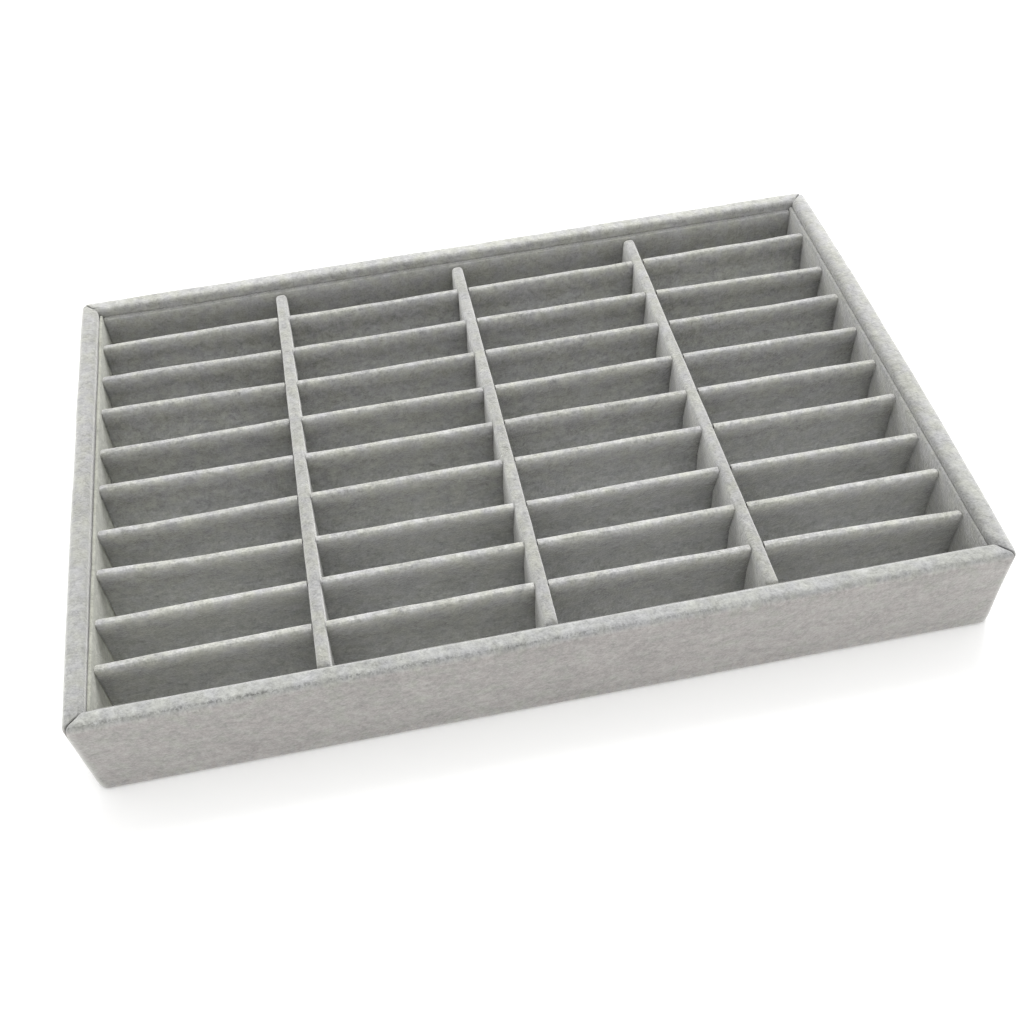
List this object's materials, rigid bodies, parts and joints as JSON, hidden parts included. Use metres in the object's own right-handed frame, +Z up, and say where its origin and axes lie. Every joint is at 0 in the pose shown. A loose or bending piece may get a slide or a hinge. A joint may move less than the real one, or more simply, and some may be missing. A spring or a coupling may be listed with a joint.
{
  "type": "bangle display box",
  "caption": "Open velvet-covered tray with a lift-out grid of covered strips making narrow compartments for bangles.",
  "frame": {"origin": "middle of the underside, on the surface the tray stands on", "axes": "+Z up out of the open top, +X along the long side to the right, front long side towards -Y"},
  "size_m": [0.3498, 0.2398, 0.043],
  "materials": {
    "velvet": "short brushed pile, pale grey",
    "board": "bare fibreboard",
    "card": "bare grey board",
    "base_sheet": "thin flocked backing sheet"
  },
  "bodies": {
    "tray": {"base_sheet": "base_sheet", "base_board": "board", "floor_card": "card", "floor_velvet": "velvet", "frame_front_board": "board", "front_cover": "velvet", "liner_front_card": "card", "liner_front_velvet": "velvet", "frame_back_board": "board", "back_cover": "velvet", "liner_back_card": "card", "liner_back_velvet": "velvet", "frame_left_board": "board", "left_cover": "velvet", "liner_left_card": "card", "liner_left_velvet": "velvet", "frame_right_board": "board", "right_cover": "velvet", "liner_right_card": "card", "liner_right_velvet": "velvet"},
    "cross_dividers": {"cross_divider_1_card": "card", "cross_divider_1_velvet": "velvet", "cross_divider_2_card": "card", "cross_divider_2_velvet": "velvet", "cross_divider_3_card": "card", "cross_divider_3_velvet": "velvet", "cross_divider_4_card": "card", "cross_divider_4_velvet": "velvet", "cross_divider_5_card": "card", "cross_divider_5_velvet": "velvet", "cross_divider_6_card": "card", "cross_divider_6_velvet": "velvet", "cross_divider_7_card": "card", "cross_divider_7_velvet": "velvet", "cross_divider_8_card": "card", "cross_divider_8_velvet": "velvet", "cross_divider_9_card": "card", "cross_divider_9_velvet": "velvet"},
    "long_divider_1": {"long_divider_1_card": "card", "long_divider_1_velvet": "velvet"},
    "long_divider_2": {"long_divider_2_card": "card", "long_divider_2_velvet": "velvet"},
    "long_divider_3": {"long_divider_3_card": "card", "long_divider_3_velvet": "velvet"}
  },
  "joints": [
    {"name": "grid_lift", "type": "slide", "parent": "tray", "child": "cross_dividers", "axis": [0, 0, 1], "range_m": [0, 0.045]},
    {"name": "long_divider_1_lift", "type": "slide", "parent": "cross_dividers", "child": "long_divider_1", "axis": [0, 0, 1], "range_m": [0, 0.045]},
    {"name": "long_divider_2_lift", "type": "slide", "parent": "cross_dividers", "child": "long_divider_2", "axis": [0, 0, 1], "range_m": [0, 0.045]},
    {"name": "long_divider_3_lift", "type": "slide", "parent": "cross_dividers", "child": "long_divider_3", "axis": [0, 0, 1], "range_m": [0, 0.045]}
  ]
}
